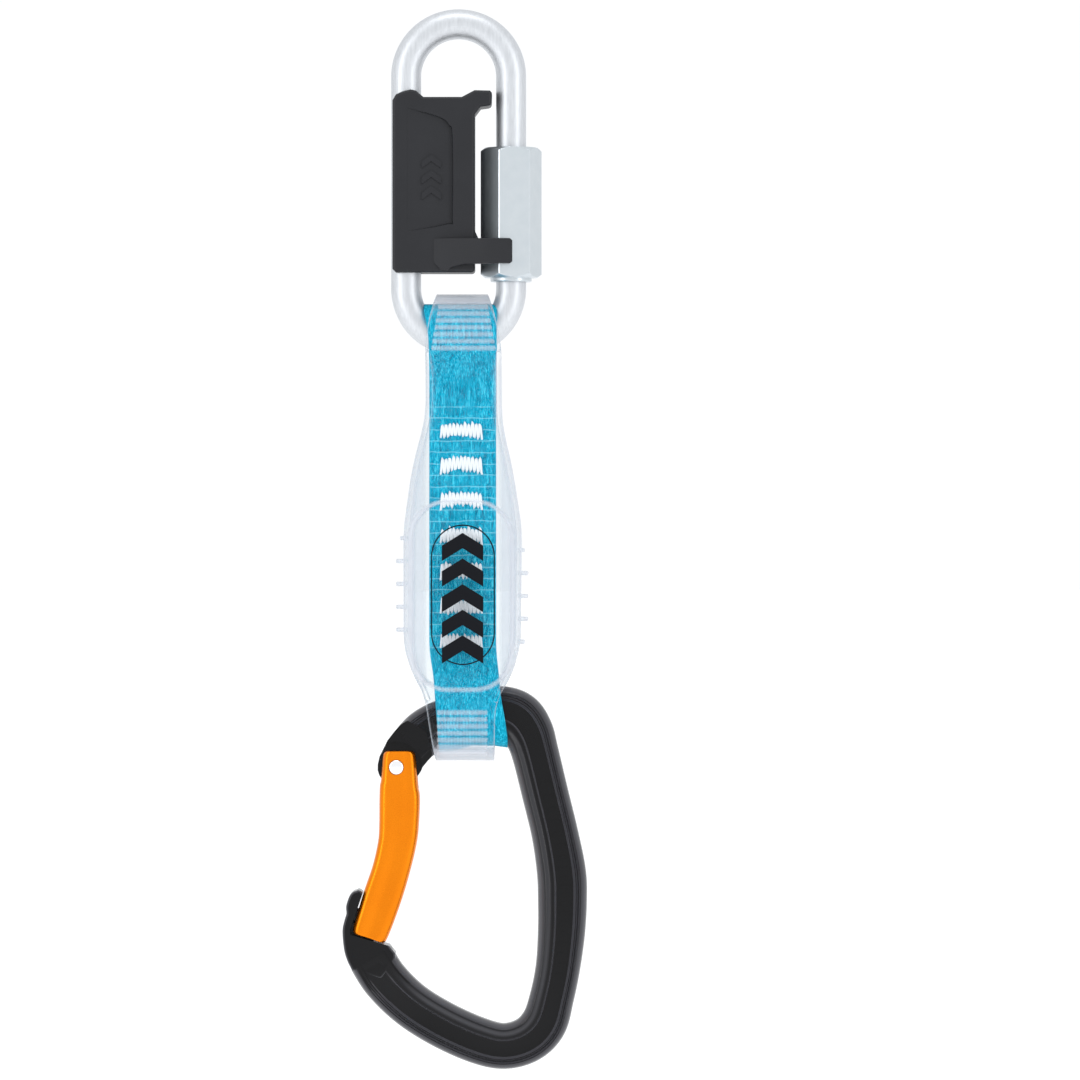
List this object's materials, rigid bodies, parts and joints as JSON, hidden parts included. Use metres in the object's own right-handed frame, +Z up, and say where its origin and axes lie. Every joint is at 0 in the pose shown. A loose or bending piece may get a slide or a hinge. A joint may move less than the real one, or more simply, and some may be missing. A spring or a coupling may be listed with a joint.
{
  "type": "climbing quickdraw",
  "caption": "Quickdraw: steel quick link with a plastic keeper, sewn sling in a clear sleeve, and a bent-gate keylock carabiner.",
  "frame": {"origin": "inner crown of the quick link, the point that rests on the bolt hanger", "axes": "+X to the right seen from the front, away from the gate; +Z up; -Y to the front, where the keeper's arm crosses the nut"},
  "size_m": [0.0652, 0.0189, 0.2824],
  "materials": {
    "link_steel": "satin zinc plate",
    "nut_steel": "satin zinc plate, finely turned and milled",
    "keeper_plastic": "matte moulded",
    "webbing": "woven nylon",
    "thread": "zigzag stitched thread",
    "sleeve_clear": "clear, slightly milky elastomer",
    "body_anodised": "satin black anodised",
    "gate_anodised": "satin orange anodised",
    "rivet_steel": "bright",
    "plunger_steel": "ground",
    "spring_steel": "drawn wire"
  },
  "bodies": {
    "link": {"link_bar": "link_steel", "webbing_top_eye": "webbing", "sleeve_top_cuff": "sleeve_clear"},
    "nut": {"link_nut": "nut_steel"},
    "keeper": {"keeper_clip": "keeper_plastic"},
    "sling": {"webbing_strap": "webbing", "bar_tack_1": "thread", "bar_tack_2": "thread", "bar_tack_3": "thread", "bar_tack_4": "thread", "bar_tack_5": "thread", "bar_tack_6": "thread", "bar_tack_7": "thread", "sleeve_body": "sleeve_clear"},
    "carabiner": {"carabiner_body": "body_anodised", "gate_rivet": "rivet_steel", "webbing_bottom_eye": "webbing", "sleeve_bottom_cuff": "sleeve_clear"},
    "gate": {"carabiner_gate": "gate_anodised", "gate_spring": "spring_steel"},
    "plunger": {"gate_plunger": "plunger_steel"}
  },
  "joints": [
    {"name": "keeper_swing", "type": "hinge", "parent": "link", "child": "keeper", "pos_m": [-0.014, 0, -0.039], "axis": [0, 0, -1], "range_deg": [0, 120]},
    {"name": "nut_travel", "type": "slide", "parent": "link", "child": "nut", "axis": [0, 0, 1], "range_m": [0, 0.0185]},
    {"name": "sling_swing", "type": "hinge", "parent": "link", "child": "sling", "pos_m": [0, 0, -0.095], "axis": [1, 0, 0], "range_deg": [-75, 75]},
    {"name": "carabiner_swing", "type": "hinge", "parent": "sling", "child": "carabiner", "pos_m": [0, 0, -0.17], "axis": [1, 0, 0], "range_deg": [-60, 60]},
    {"name": "gate_hinge", "type": "hinge", "parent": "carabiner", "child": "gate", "pos_m": [-0.01653, 0, -0.19395], "axis": [0, -1, 0], "range_deg": [0, 32], "stiffness_Nm_per_rad": 0.2, "springref_deg": -68.75},
    {"name": "plunger_slide", "type": "slide", "parent": "gate", "child": "plunger", "axis": [0, 0, -1], "range_m": [0, 0.0012], "deforming": ["gate_spring"]}
  ],
  "couplings": [
    {"joint": "keeper_swing", "follows": "nut_travel", "rad_per_m": 113.2},
    {"joint": "plunger_slide", "follows": "gate_hinge", "m_per_rad": 0.00214}
  ]
}
